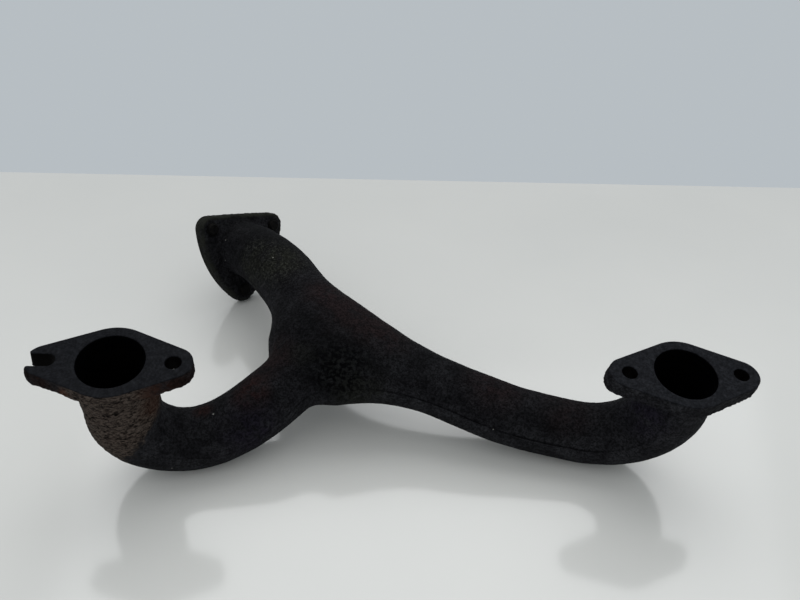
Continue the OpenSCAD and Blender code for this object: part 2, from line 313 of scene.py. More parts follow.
def ease_ribs(mesh):
    """Smooths the skin across the ribs, where the arms meet, without thinning it."""
    points, normals, count = points_of(mesh), normals_of(mesh), len(mesh.vertices)
    ends = np.empty(len(mesh.edges) * 2, "i")
    mesh.edges.foreach_get("vertices", ends)
    a, b = ends[0::2], ends[1::2]
    nearness = np.empty(count, "f")
    mesh.attributes["rib"].data.foreach_get("value", nearness)
    friends = np.bincount(ends, minlength=count)[:, None]
    for factor in RIB_PULLS * RIB_ROUNDS:
        total = [np.bincount(a, points[b, axis], count) + np.bincount(b, points[a, axis], count)
                 for axis in range(3)]
        pull = np.column_stack(total) / friends - points
        pull = normals * (pull * normals).sum(1)[:, None]
        points += factor * nearness[:, None] * pull
    set_points(mesh, points)


def piece_of(data):
    """Puts a mesh, a curve, a light or a camera into the scene."""
    piece = bpy.data.objects.new(data.name, data)
    bpy.context.scene.collection.objects.link(piece)
    return piece


def casting_mesh():
    """The skin and the hollow of the three arms, joined at the flanges."""
    points, faces, ends = [], [], []
    notes = {"inside": [], "seam": [], "rib": []}
    for half, step, inset in ((SKIN_HALF, SKIN_STEP, 0.0), (CORE_HALF, CORE_STEP, WALL)):
        around = 2 * half
        for arm in range(3):
            rings = arm_rings(arm, half, step, inset)
            ends.append(len(points))
            faces += tube_faces(len(points), len(rings), around)
            for ring, seam, nearness in rings:
                points.extend(ring)
                notes["seam"].extend(np.zeros(around) if inset else seam)
                notes["rib"].extend([nearness] * around)
                notes["inside"].extend([1.0 if inset else 0.0] * around)
    # at each flange the skin turns in to the core, two skin points to each core point
    for arm in range(3):
        skin, core = ends[arm], ends[arm + 3]
        for j in range(2 * CORE_HALF):
            a, b, c = (skin + (2 * j + k) % (2 * SKIN_HALF) for k in range(3))
            d, e = core + j, core + (j + 1) % (2 * CORE_HALF)
            faces += [(a, b, d), (b, e, d), (b, c, e)]
    x = np.array(points)[:, 0]
    low, high = SEAM_PLAIN
    plain = (ease(np.clip((x - low) / SEAM_FADE, 0, 1))
             * ease(np.clip((high - x) / SEAM_FADE, 0, 1)))
    notes["seam"] = np.array(notes["seam"]) * (SEAM_WORN + (1 - SEAM_WORN) * plain)
    mesh = closed_mesh("casting_skin", points, faces, notes)
    ease_ribs(mesh)
    return mesh


# The sand's grain, gentle lumps, the coarse scale that covers port 1's root and
# the pitted patch on the front of the Y are all real relief on the casting. A
# ramp here is the two values it lies between and, if not 0 and 1, its two ends.

GRAIN_SIZE, GRAIN_HEIGHT = 2.6, 0.2
LUMP_SIZE, LUMP_HEIGHT = 16.0, 0.45
PEBBLE_SIZE, PEBBLE_HEIGHT = 2.6, 0.38
PEBBLE_BLEND = 0.35                    # how far neighbouring pebbles run together
PEBBLE_RAMP = (0.1, 0.75, 0.5, -0.5)   # a pebble's height, from its middle outwards
PIT_SIZE, PIT_DEPTH = 2.3, 0.8
PIT_RAMP = (0.3, 0.52, -1.0, 0.0)      # a pit's depth, from its floor to its lip
PITTED, PITTED_REACH = np.array([122.0, 31.0, -41.0]), 27.0
RIM_RAMP = (0.3, 1.6, 1.0, 0.0)        # how far in from a flange's rim it is pebbled
NO_RIM = 0.000001                      # the rim note reads 0 on a mesh that has none
WORN_SIZE, WORN_RAMP = 9.0, (0.35, 0.65, 0.55, 1.0)   # where the parting line is worn low
SCALE_SIDE = np.array([0.82, 0.0, -0.57])   # the scale ends at a slant across the elbow
SCALE_END = 38.0                       # how far along that way it ends
SCALE_FADE = 2.5                       # how far to each side of that it thins out
SCALE_RAGGED = 8.0                     # how far its edge wanders
SCALE_REACH = 29.0                     # how far from port 1's axis it can lie


def add(tree, kind, sockets=None, **settings):
    """Adds a node. A socket is given a plain value, or another node's output."""
    node = tree.nodes.new(kind)
    for name, value in settings.items():
        setattr(node, name, value)
    for name, value in (sockets or {}).items():
        if isinstance(value, bpy.types.NodeSocket):
            tree.links.new(value, node.inputs[name])
        else:
            node.inputs[name].default_value = value
    return node


def calc(tree, operation, *values):
    return add(tree, "ShaderNodeMath", dict(enumerate(values)), operation=operation).outputs[0]


def times(tree, product, *factors):
    for factor in factors:
        product = calc(tree, "MULTIPLY", product, factor)
    return product


def centred(tree, value, height):
    """Noise made to rise and fall by about this much on either side of zero."""
    return times(tree, calc(tree, "SUBTRACT", value, 0.5), times(tree, height, 2.0))


def noise(tree, at, size, detail=3.0, rough=0.55, bend=0.0):
    """Noise whose features are about this many millimetres across."""
    node = add(tree, "ShaderNodeTexNoise", {"Vector": at, "Scale": 1 / (size * MM),
               "Detail": detail, "Roughness": rough, "Distortion": bend})
    return node.outputs[0]


def ramp(tree, value, low, high, start=0.0, end=1.0):
    """Eases a value from start to end as it goes from low to high."""
    node = add(tree, "ShaderNodeMapRange", {"Value": value, "From Min": low, "From Max": high,
               "To Min": start, "To Max": end}, interpolation_type="SMOOTHSTEP")
    return node.outputs[0]


def along(tree, at, way):
    """How far a point lies along a direction, in millimetres."""
    node = add(tree, "ShaderNodeVectorMath", {0: at}, operation="DOT_PRODUCT")
    node.inputs[1].default_value = tuple(np.asarray(way, float) / MM)
    return node.outputs["Value"]


def near(tree, at, centre, reach, soft=0.6):
    """One near a point and nothing beyond its reach."""
    node = add(tree, "ShaderNodeVectorMath", {0: at}, operation="DISTANCE")
    node.inputs[1].default_value = tuple(np.asarray(centre, float) * MM)
    return ramp(tree, node.outputs["Value"], reach * (1 - soft) * MM, reach * MM, 1.0, 0.0)


def stretched(tree, at, factors):
    return add(tree, "ShaderNodeVectorMath", {0: at, 1: factors}, operation="MULTIPLY").outputs[0]


def scaled(tree, vector, factor):
    """A direction or a colour times a number."""
    node = add(tree, "ShaderNodeVectorMath", {0: vector, "Scale": factor}, operation="SCALE")
    return node.outputs[0]


def rim_band(tree, rim, band):
    """A ramp in from a flange's rim, and nothing on the pipes."""
    return times(tree, ramp(tree, rim, *band), calc(tree, "GREATER_THAN", rim, NO_RIM))


def scale_cover(tree, at):
    """Where the brown scale lies: round port 1's root, up to a slant across its elbow."""
    wander = centred(tree, noise(tree, at, size=5.0, detail=5.0, rough=0.8), SCALE_RAGGED)
    ragged = calc(tree, "ADD", along(tree, at, SCALE_SIDE), wander)
    slant = ramp(tree, ragged, SCALE_END - SCALE_FADE, SCALE_END + SCALE_FADE, 1.0, 0.0)
    flat = stretched(tree, at, (1, 1, 0))
    return times(tree, slant, near(tree, flat, (0, 0, 0), SCALE_REACH, soft=0.15))


def new_tree(name, sizes):
    """A Geometry Nodes tree, with an input named for each size and one for the finish."""
    tree = bpy.data.node_groups.new(name, "GeometryNodeTree")
    face = tree.interface
    face.new_socket("Geometry", in_out="INPUT", socket_type="NodeSocketGeometry")
    for key, value in sizes.items():
        face.new_socket(key, in_out="INPUT", socket_type="NodeSocketFloat").default_value = value
    face.new_socket("Finish", in_out="INPUT", socket_type="NodeSocketMaterial")
    face.new_socket("Geometry", in_out="OUTPUT", socket_type="NodeSocketGeometry")
    return tree, tree.nodes.new("NodeGroupInput").outputs


def end_tree(tree, geometry, finish):
    whole = add(tree, "GeometryNodeRealizeInstances", {"Geometry": geometry}).outputs[0]
    painted = add(tree, "GeometryNodeSetMaterial", {"Geometry": whole, "Material": finish})
    add(tree, "NodeGroupOutput", {"Geometry": painted.outputs[0]})
    return tree


def relief_tree():
    """Moves the points of a cast mesh in and out, and leaves its machined ones alone."""
    tree, given = new_tree("cast_relief", {
        "Grain height": GRAIN_HEIGHT, "Lump height": LUMP_HEIGHT,
        "Pebble height": PEBBLE_HEIGHT, "Pit depth": PIT_DEPTH, "Seam height": SEAM})
    at = tree.nodes.new("GeometryNodeInputPosition").outputs[0]
    normal = tree.nodes.new("GeometryNodeInputNormal").outputs[0]
    rim, machined, seam = (
        add(tree, "GeometryNodeInputNamedAttribute", {"Name": name}, data_type="FLOAT")
        .outputs["Attribute"] for name in ("rim", "machined", "seam"))

    grain = centred(tree, noise(tree, at, GRAIN_SIZE, detail=3.0, rough=0.6), given["Grain height"])
    lump = centred(tree, noise(tree, at, LUMP_SIZE, detail=1.0), given["Lump height"])
    rough = calc(tree, "MAXIMUM", scale_cover(tree, at), rim_band(tree, rim, RIM_RAMP))
    pebble = add(tree, "ShaderNodeTexVoronoi", {"Vector": at, "Scale": 1 / (PEBBLE_SIZE * MM),
                 "Smoothness": PEBBLE_BLEND}, feature="SMOOTH_F1").outputs["Distance"]
    pebble = times(tree, ramp(tree, pebble, *PEBBLE_RAMP), rough, given["Pebble height"])
    pit = ramp(tree, noise(tree, at, PIT_SIZE, detail=2.0), *PIT_RAMP)
    pit = times(tree, pit, near(tree, at, PITTED, PITTED_REACH, soft=0.75), given["Pit depth"])
    worn = ramp(tree, noise(tree, at, WORN_SIZE), *WORN_RAMP)
    seam = times(tree, seam, worn, given["Seam height"])
    total = calc(tree, "ADD", calc(tree, "ADD", grain, lump), calc(tree, "ADD", pebble, pit))
    total = calc(tree, "ADD", total, seam)
    total = times(tree, total, calc(tree, "SUBTRACT", 1.0, machined), MM)
    moved = add(tree, "GeometryNodeSetPosition", {"Geometry": given["Geometry"],
                "Offset": scaled(tree, normal, total)})
    return end_tree(tree, moved.outputs[0], given["Finish"])


def through_tree(mesh, tree, **inputs):
    """The mesh after a node tree, as a plain mesh. Underscores stand for spaces."""
    blank = piece_of(mesh)
    name = mesh.name
    step = blank.modifiers.new("tree", "NODES")
    step.node_group = tree
    sockets = {item.name: item.identifier for item in tree.interface.items_tree
               if item.item_type == "SOCKET" and item.in_out == "INPUT"}
    for key, value in inputs.items():
        step[sockets[key.replace("_", " ")]] = value
    done = finished_mesh(blank)
    done.name = name
    return done


def note_upward(mesh):
    """Keeps how far each point of a finished mesh faces up, for the painted shade that darkens what
    faces up.
    """
    note(mesh, "upward", normals_of(mesh)[:, 2])
    return mesh


def finished_mesh(piece):
    """The piece's mesh with its modifiers applied; the piece itself is thrown away."""
    graph = bpy.context.evaluated_depsgraph_get()
    mesh = bpy.data.meshes.new_from_object(piece.evaluated_get(graph), depsgraph=graph)
    bpy.data.objects.remove(piece)
    return mesh


# Soot over iron: almost black and sandy, with brown scale over port 1's root,
# tints where heat, rust or dust reached it, and blue-grey machined faces.
# Painted light and shade lie on it too: darker tops, lit grain tops, dark pits, holes and parting
# line, and a lighter outlet flange rim.

SOOT_DARK, SOOT_PALE = (0.0078, 0.0078, 0.0090, 1), (0.0185, 0.0186, 0.0208, 1)
DEEP = (0.0034, 0.0035, 0.0041, 1)
PINK = (0.0220, 0.0140, 0.0146, 1)
RED = (0.0290, 0.0112, 0.0096, 1)
ORANGE = (0.0900, 0.0270, 0.0120, 1)
VIOLET = (0.0105, 0.0088, 0.0150, 1)
OLIVE = (0.0180, 0.0190, 0.0148, 1)
DUST = (0.0430, 0.0450, 0.0360, 1)
BROWN = (0.0100, 0.0052, 0.0043, 1)
RUST = (0.0420, 0.0165, 0.0095, 1)
# near-black painted shade for the floors of the pits and along the parting line, and the pale lips
# round the pits
PAINTED_SHADE, PIT_RIM = (0.0006, 0.0006, 0.0009, 1), (0.0120, 0.0132, 0.0122, 1)
SCALE_DARK, SCALE_PALE = (0.0200, 0.0148, 0.0124, 1), (0.0760, 0.0595, 0.0500, 1)
CRUMB = (0.1100, 0.0920, 0.0790, 1)
CRACK = (0.0030, 0.0020, 0.0017, 1)
SPECK = (0.22, 0.22, 0.20, 1)
FACE_DARK, FACE_PALE = (0.0058, 0.0063, 0.0078, 1), (0.0120, 0.0127, 0.0150, 1)
# painted shade for the walls of the flanges' holes, bores and slot
HOLE_SHADE = (0.0015, 0.0012, 0.0012, 1)
BORE_SOOT = (0.0001, 0.0002, 0.0004, 1)

# each tint's middle, its reach, its colour and how much of it there is
TINTS = [((112, 50, -36), 52, DEEP, 0.7), ((122, 30, -41), 30, DEEP, 0.9),
         ((60, 148, -58), 50, DEEP, 0.7),
         ((134, 76, -38), 36, PINK, 0.85), ((114, 92, -36), 24, PINK, 0.9),
         ((152, 62, -40), 26, PINK, 0.8), ((219, 31, -50), 28, PINK, 0.75),
         ((262, 14, -56), 24, PINK, 0.5), ((77, 44, -48), 24, PINK, 0.8),
         ((68, 20, -50), 17, RED, 0.7), ((40, 13, -58), 9, RED, 0.7),
         ((70, 0, -62), 26, VIOLET, 0.8), ((294, -8, -25), 26, VIOLET, 0.8),
         ((79, 128, -44), 26, OLIVE, 0.9), ((60, 140, -56), 26, OLIVE, 0.5),
         ((98, 42, -41), 12, OLIVE, 0.3), ((135, 20, -54), 26, OLIVE, 0.5),
         ((-36, -6, -6), 22, BROWN, 0.95), ((36, -8, -6), 19, BROWN, 0.95),
         ((-19, -18, -7), 7, ORANGE, 0.9)]
DUSTY = [((79, 128, -44), 30), ((64, 142, -58), 30)]    # dust on the outlet pipe
RUSTY = [((21, -6, -26), 16), ((24, -15, -8), 13)]      # rust on port 1's scale
RUST_AMOUNT = 0.55

SOOT_RAMP = (0.3, 0.7)                    # from the soot's dark places to its pale ones
BROKEN_RAMP = (0.36, 0.56, 0.3, 1.0)      # breaks up every tint
TOP_SHADE_RAMP = (0.0, 0.9, 1.0, 0.5)        # painted shade: darkens what faces up
GRIT_SHARE = 0.55                         # how much of the sand's grain is its coarse part
GRAIN_PAINTED_LIGHT_RAMP = (0.42, 0.60, 0.45, 1.60)      # painted light and shade: lights the tops of that grain and darkens its hollows
DUST_RAMP = (0.53, 0.60, 0.0, 0.38)       # dust lies on those tops
LIP_RAMP = (0.52, 0.60, 0.0, 0.3)         # pale lips round the pits
PIT_SHADE_RAMP = (0.42, 0.52, 1.0, 0.0)    # painted shade in the floors of the pits
SEAM_SHADOW_RAMP = (0.35, 0.55, 0.45, 1.0)  # painted shadow along the parting line
RIM_WEAR_AND_HIGHLIGHT = (0.5, 4.0, 0.7, 0.0)           # how far in from its rim the outlet flange is lighter: wear and a painted highlight on its rounded edge
FLANGE_REACH = 60.0                       # a flange lies within this reach of its middle
SPECK_GAP, SPECK_RAMP = 13.0, (0.030, 0.045, 1.0, 0.0)   # how far apart specks are, and their edge
SPECK_SHARE, SPECK_AMOUNT = 0.4, 0.6      # how many of them there are, and how plain they are
FACE_RAMP = (0.36, 0.66)                  # from a machined face's dark places to its pale ones
FACE_GRAIN_PAINTED_LIGHT_RAMP = (0.42, 0.60, 0.65, 1.45)  # painted light and shade: lights the tops of the grain on it and darkens its hollows
FACE_SOOT = 0.3                           # how much darker port 1's face is
DULL_RAMP = (0.2, 0.8, 0.62, 0.85)        # roughness, from dark soot to pale
FACE_SHEEN, BORE_DULL = 0.18, 0.2         # how much less rough a face is, and more rough a bore
GLOSS = 0.02                              # how little the soot shines
GRAIN_BUMP, SCALE_BUMP, BUMP_DEPTH = 1.2, 0.8, 0.9   # shares of grain and scale, and their depth
FACE_FLAT = 0.85                          # how much of that a machined face has lost

SQUAT = (1, 1, 1.9)                       # the scale's crumbs are wider than they are high
CRUMB_RAMP = (0.40, 0.58)                 # from its dark crumbs to its pale ones
CRUMB_TOP_RAMP = (0.60, 0.66, 0.0, 0.5)   # the palest of them
CRACK_RAMP = (0.012, 0.05, 1.0, 0.0)      # how wide its cracks are
CRACKED_RAMP = (0.46, 0.56)               # where there are any
HOLE_GAP, HOLE_RAMP = 4.6, (0.16, 0.30, 1.0, 0.0)   # how far apart its pits are, and their edge
HOLE_SHARE = 0.6                          # how many of them there are


def blend(tree, amount, first, second):
    node = add(tree, "ShaderNodeMix", {0: amount, 6: first, 7: second},
               data_type="RGBA", clamp_factor=True)
    return node.outputs[2]


def noted(tree, name):
    """A value that the mesh keeps at each of its points."""
    return add(tree, "ShaderNodeAttribute", attribute_name=name).outputs["Fac"]


def either(tree, at, places, soft):
    """One near either of two places, each of them a middle and a reach."""
    first, second = (near(tree, at, middle, reach, soft) for middle, reach in places)
    return calc(tree, "MAXIMUM", first, second)


def spots(tree, at, gap, band, share):
    """Round spots about so far apart, of which this share is kept."""
    cell = add(tree, "ShaderNodeTexVoronoi", {"Vector": at, "Scale": 1 / (gap * MM)})
    pick = add(tree, "ShaderNodeSeparateColor", {"Color": cell.outputs["Color"]}).outputs[0]
    return times(tree, ramp(tree, cell.outputs["Distance"], *band),
                 calc(tree, "GREATER_THAN", pick, 1 - share))


def new_finish(name, gloss):
    """A material, with its node tree, its shader and its Object coordinates."""
    material = bpy.data.materials.new(name)
    material.use_nodes = True
    tree = material.node_tree
    shader = tree.nodes["Principled BSDF"]
    shader.inputs["Specular IOR Level"].default_value = gloss
    return material, tree, shader, tree.nodes.new("ShaderNodeTexCoord").outputs["Object"]


def scale_colour(tree, at):
    """Grey-brown scale with wavy cracks that run round the root, and short dark pits."""
    squat = stretched(tree, at, SQUAT)
    crumb = noise(tree, squat, size=2.0, detail=4.0, rough=0.75)
    colour = blend(tree, ramp(tree, crumb, *CRUMB_RAMP), SCALE_DARK, SCALE_PALE)
    wave = calc(tree, "SUBTRACT", noise(tree, squat, size=6.0, detail=3.0, rough=0.6), 0.5)
    crack = times(tree, ramp(tree, calc(tree, "ABSOLUTE", wave), *CRACK_RAMP),
                  ramp(tree, noise(tree, at, size=4.0, detail=2.0), *CRACKED_RAMP))
    hole = spots(tree, squat, HOLE_GAP, HOLE_RAMP, HOLE_SHARE)
    colour = blend(tree, ramp(tree, crumb, *CRUMB_TOP_RAMP), colour, CRUMB)
    return blend(tree, calc(tree, "MAXIMUM", crack, hole), colour, CRACK)


def face_colour(tree, at, sand):
    """A machined face, grey under a film of soot that is thicker at port 1."""
    stain = noise(tree, at, size=4.0, detail=5.0, rough=0.75)
    face = blend(tree, ramp(tree, stain, *FACE_RAMP), FACE_DARK, FACE_PALE)
    # painted light and shade on the face's grain: lighter where the bump is high, darker where it is
    # low
    face = scaled(tree, face, ramp(tree, sand, *FACE_GRAIN_PAINTED_LIGHT_RAMP))
    sooty = near(tree, at, PORT[0], FLANGE_REACH, soft=0.2)
    return blend(tree, times(tree, sooty, FACE_SOOT), face, DEEP)


def iron_finish():
    material, tree, skin, at = new_finish("sooty_iron", GLOSS)
    fine = noise(tree, at, size=1.2, detail=2.0, rough=0.8)
    grit = noise(tree, at, size=2.2, detail=4.0, rough=0.8)
    sand = calc(tree, "ADD", times(tree, grit, GRIT_SHARE), times(tree, fine, 1 - GRIT_SHARE))
    patch = noise(tree, at, size=13.0, detail=5.0, rough=0.62, bend=0.3)
    cloud = noise(tree, at, size=9.0, detail=4.0, rough=0.68)
    machined, inside, rim = noted(tree, "machined"), noted(tree, "inside"), noted(tree, "rim")

    colour = blend(tree, ramp(tree, patch, *SOOT_RAMP), SOOT_DARK, SOOT_PALE)
    broken = ramp(tree, cloud, *BROKEN_RAMP)
    for middle, reach, tint, strength in TINTS:
        cover = times(tree, near(tree, at, middle, reach, soft=0.85), broken, strength)
        colour = blend(tree, cover, colour, tint)
    # painted shade: the more a point faces up, the darker its colour
    colour = scaled(tree, colour, ramp(tree, noted(tree, "upward"), *TOP_SHADE_RAMP))
    # painted light and shade on the grain: lighter where the bump is high, darker where it is low
    colour = scaled(tree, colour, ramp(tree, sand, *GRAIN_PAINTED_LIGHT_RAMP))
    dusty = times(tree, either(tree, at, DUSTY, soft=0.6), ramp(tree, sand, *DUST_RAMP))
    colour = blend(tree, dusty, colour, DUST)

    pitted = near(tree, at, PITTED, PITTED_REACH, soft=0.85)
    pit = noise(tree, at, PIT_SIZE, detail=2.0)
    colour = blend(tree, times(tree, pitted, ramp(tree, pit, *LIP_RAMP)), colour, PIT_RIM)
    # painted shade in the floors of the pits
    colour = blend(tree, times(tree, pitted, ramp(tree, pit, *PIT_SHADE_RAMP)), colour, PAINTED_SHADE)
    # painted shadow: a dark line along the parting line
    seam = times(tree, noted(tree, "seam"), ramp(tree, cloud, *SEAM_SHADOW_RAMP))
    colour = blend(tree, seam, colour, PAINTED_SHADE)
    # wear and painted highlight: a lighter olive band in from the outlet flange's rim
    worn = times(tree, rim_band(tree, rim, RIM_WEAR_AND_HIGHLIGHT), broken,
                 near(tree, at, OUTLET, FLANGE_REACH, soft=0.1))
    colour = blend(tree, worn, colour, OLIVE)

    scale = scale_cover(tree, at)
    colour = blend(tree, scale, colour, scale_colour(tree, at))
    rusty = times(tree, either(tree, at, RUSTY, soft=0.8), broken, RUST_AMOUNT)
    colour = blend(tree, rusty, colour, RUST)
    speck = spots(tree, at, SPECK_GAP, SPECK_RAMP, SPECK_SHARE)
    colour = blend(tree, times(tree, speck, SPECK_AMOUNT), colour, SPECK)
    colour = blend(tree, machined, colour, face_colour(tree, at, sand))
    # painted shade on the walls of the holes, bores and slot, below their lips
    colour = blend(tree, noted(tree, "hole"), colour, HOLE_SHADE)
    colour = blend(tree, inside, colour, BORE_SOOT)
    tree.links.new(colour, skin.inputs["Base Color"])

    dull = ramp(tree, patch, *DULL_RAMP)
    dull = calc(tree, "SUBTRACT", dull, times(tree, machined, FACE_SHEEN))
    dull = calc(tree, "ADD", dull, times(tree, inside, BORE_DULL))
    tree.links.new(dull, skin.inputs["Roughness"])

    flakes = times(tree, scale, times(tree, grit, SCALE_BUMP))
    height = calc(tree, "ADD", times(tree, sand, GRAIN_BUMP), flakes)
    cast = calc(tree, "SUBTRACT", 1.0, times(tree, machined, FACE_FLAT))
    bump = add(tree, "ShaderNodeBump", {"Height": times(tree, height, cast), "Strength": 1.0,
               "Distance": BUMP_DEPTH * MM})
    tree.links.new(bump.outputs[0], skin.inputs["Normal"])
    return material


relief = relief_tree()
iron = iron_finish()
casting = piece_of(note_upward(through_tree(casting_mesh(), relief, Finish=iron)))
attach(casting, "root")
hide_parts("manifold_casting")

# ---------------------------------------------------------------------------
# Port flanges: a flat diamond at the head of each runner, cast with it. Its
# face is machined for the gasket, its sides and underside are left as cast.
# Port 1's outer lug has an open slot, so that the hot casting can grow.

STUD_REACH = 32.5        # from a port's centre to each of its studs
OUTER_REACH = 33.5       # to the middle of its outer lug, which is cast a little longer
BOSS = 24.0              # radius of a port flange's round middle
LUG = 10.5               # radius of a lug round its stud hole
STUD_HOLE = mounts["port_1_stud"]["dims"]["hole_r_mm"]
GRIME = 1.1              # how much scale narrows a hole or the slot at its lower end
SLOT = 4.25              # half of the slot's width
PRONG_TIP = 1.0          # rounding of the two prongs beside the slot
CRUSTS = [(-41.3, -6.7, -5.5), (-43.3, -2.5, -6.0)]   # where flash thickens each outer lug
CRUST_HEIGHT = 1.5       # how far the flash stands out
CRUST_REACH = 13.0       # how far along the side it reaches
CRUST_INWARD = 2.0       # how far in from the side it is felt
CRUST_FALL = 3.0         # how far below the face it is at its full height
FACE_EDGE = 0.4          # rounding of a machined face's worn edge
CAST_EDGE = 1.2          # rounding of a flange's cast edge
FACE_DEPTH, FACE_FADE = 0.2, 0.5   # how deep the machined finish goes, and where it ends
CUT_DEPTH, CUT_FADE = 0.3, 0.4     # the same into the wall of a hole
SLOT_DEPTH = 0.5         # the same into the walls of the slot
HOLE_LIP = 0.6           # how deep a hole's clean lip is
BORE_LIP = 0.8           # how deep a bore's clean lip is
RIM_LEAST = 0.01         # the rim note's least value, since 0 stands for no rim
FLANGE_GRAIN = 0.5       # spacing of a flange's mesh
ARC_STEP, FINE_ARC = 0.8, 0.3      # spacing of points round a wide arc and a tight one
HOLE_STEP = 0.5          # spacing of points round a hole
TINY = 1e-9              # keeps a division from being by nothing


def arc(centre, radius, start, end, step=ARC_STEP):
    """Points along an arc, with both ends."""
    count = max(2, int(abs(math.radians(end - start)) * radius / step))
    turns = np.radians(np.linspace(start, end, count + 1))
    return np.array(centre) + radius * np.column_stack([np.cos(turns), np.sin(turns)])


def port_outline(slotted):
    """A port flange's outline, anticlockwise, with its outer lug towards minus x."""
    lean, outer = (math.degrees(math.acos((BOSS - LUG) / reach))
                   for reach in (STUD_REACH, OUTER_REACH))
    right = arc((STUD_REACH, 0), LUG, -lean, lean)
    back = arc((0, 0), BOSS, lean, 180 - outer)
    front = arc((0, 0), BOSS, 180 + outer, 360 - lean)
    if slotted:
        mouth = math.degrees(math.asin((SLOT + PRONG_TIP) / (LUG - PRONG_TIP)))
        tip = -OUTER_REACH - (LUG - PRONG_TIP) * math.cos(math.radians(mouth))
        left = [arc((-OUTER_REACH, 0), LUG, 180 - outer, 180 - mouth),
                arc((tip, SLOT + PRONG_TIP), PRONG_TIP, 180 - mouth, 270, FINE_ARC),
                arc((-STUD_REACH, 0), SLOT, 90, -90),
                arc((tip, -SLOT - PRONG_TIP), PRONG_TIP, 90, 180 + mouth, FINE_ARC),
                arc((-OUTER_REACH, 0), LUG, 180 + mouth, 180 + outer)]
    else:
        left = [arc((-OUTER_REACH, 0), LUG, 180 - outer, 180 + outer)]
    return np.concatenate([right, back] + left + [front])


def plate(name, loops, bottom, top):
    """A flat plate between two heights, with its outline first and its holes after."""
    curve = bpy.data.curves.new(name, "CURVE")
    curve.dimensions, curve.fill_mode = "2D", "BOTH"
    curve.extrude = (top - bottom) / 2 * MM
    for loop in loops:
        spline = curve.splines.new("POLY")
        spline.points.add(len(loop) - 1)
        for point, (x, y) in zip(spline.points, loop):
            point.co = (x * MM, y * MM, 0, 1)
        spline.use_cyclic_u = True
    mesh = finished_mesh(piece_of(curve))
    mesh.transform(Matrix.Translation((0, 0, (top + bottom) / 2 * MM)))
    return mesh


def evenly_meshed(mesh, spacing):
    blank = piece_of(mesh)
    remesh = blank.modifiers.new("grain", "REMESH")
    remesh.mode, remesh.voxel_size, remesh.use_smooth_shade = "VOXEL", spacing * MM, True
    return finished_mesh(blank)


def inset_from(loop, points):
    """How far each point lies inside an outline, and the way inwards."""
    runs = np.roll(loop, -1, axis=0) - loop
    best, way = np.full(len(points), np.inf), np.zeros((len(points), 2))
    for start, run, squared in zip(loop, runs, (runs ** 2).sum(1)):
        if squared < TINY:
            continue
        t = np.clip(((points - start) @ run) / squared, 0, 1)
        gap = points - (start + t[:, None] * run)
        d = np.linalg.norm(gap, axis=1)
        nearer = d < np.abs(best)
        inner = (run[0] * gap[:, 1] - run[1] * gap[:, 0]) > 0
        best[nearer] = np.where(inner, d, -d)[nearer]
        way[nearer] = np.array([-run[1], run[0]]) / math.sqrt(squared)
    return best, way


def round_edge(points, inset, way, height, up, radius):
    """Moves points at a square edge onto a rounded one. Heights count from the face."""
    edge = (inset < radius) & (height < radius)
    a, b = radius - inset[edge], radius - height[edge]
    size = np.maximum(np.hypot(a, b), TINY)
    new_inset, new_height = radius - a / size * radius, radius - b / size * radius
    points[edge, :2] += way[edge] * (new_inset - inset[edge])[:, None]
    points[edge, 2] += up * (new_height - height[edge])


def flange_mesh(name, outline, holes, thickness, cast_edge, whole=None, crust=None):
    """A flange in its own frame, its face at 0 and its own mass below it. Whole is its
    outline before a slot is cut, and crust a place where its cast side is thicker."""
    whole = outline if whole is None else whole
    rims = [outline] + [arc(centre, radius, 360, 0, HOLE_STEP)[:-1] for centre, radius in holes]
    mesh = evenly_meshed(plate(name, rims, -thickness, 0.0), FLANGE_GRAIN)
    points = points_of(mesh)
    side, inwards = inset_from(whole, points[:, :2])
    round_edge(points, side, inwards, points[:, 2] + thickness, 1.0, cast_edge)
    inset, way = inset_from(outline, points[:, :2])
    round_edge(points, inset, way, -points[:, 2], -1.0, FACE_EDGE)
    below = -points[:, 2]
    machined = 1 - np.clip((below - FACE_DEPTH) / FACE_FADE, 0, 1)
    grime = (below / thickness * GRIME)[:, None]
    # the slot's walls lie on the outline, but not on the whole one
    cut = ((inset < SLOT_DEPTH) & (side > inset + CUT_DEPTH)).astype(float)
    if crust:
        gap = np.linalg.norm(points - np.array(crust), axis=1)
        swell = CRUST_HEIGHT * ease(np.clip(1 - gap / CRUST_REACH, 0, 1))
        swell *= np.clip(1 - side / CRUST_INWARD, 0, 1) * np.clip(below / CRUST_FALL, 0, 1)
        points[:, :2] -= inwards * swell[:, None]
    points[:, :2] -= way * grime * cut[:, None]
    for centre, radius in holes:
        out = points[:, :2] - np.array(centre)
        far = np.maximum(np.linalg.norm(out, axis=1), TINY)
        round_edge(points, far - radius, out / far[:, None], -points[:, 2], -1.0, FACE_EDGE)
        wall = 1 - np.clip((far - radius - CUT_DEPTH) / CUT_FADE, 0, 1)
        cut = np.maximum(cut, wall)
        if radius == STUD_HOLE:
            points[:, :2] -= out / far[:, None] * grime * wall[:, None]
    set_points(mesh, points)
    bore = np.linalg.norm(points[:, :2], axis=1) - holes[0][1]
    note(mesh, "machined", np.maximum(machined, cut))
    note(mesh, "hole", cut * (points[:, 2] < -HOLE_LIP))
    note(mesh, "rim", np.maximum(side, RIM_LEAST))
    note(mesh, "inside", (bore < CUT_DEPTH) & (points[:, 2] < -BORE_LIP))
    mesh.name = name
    return mesh


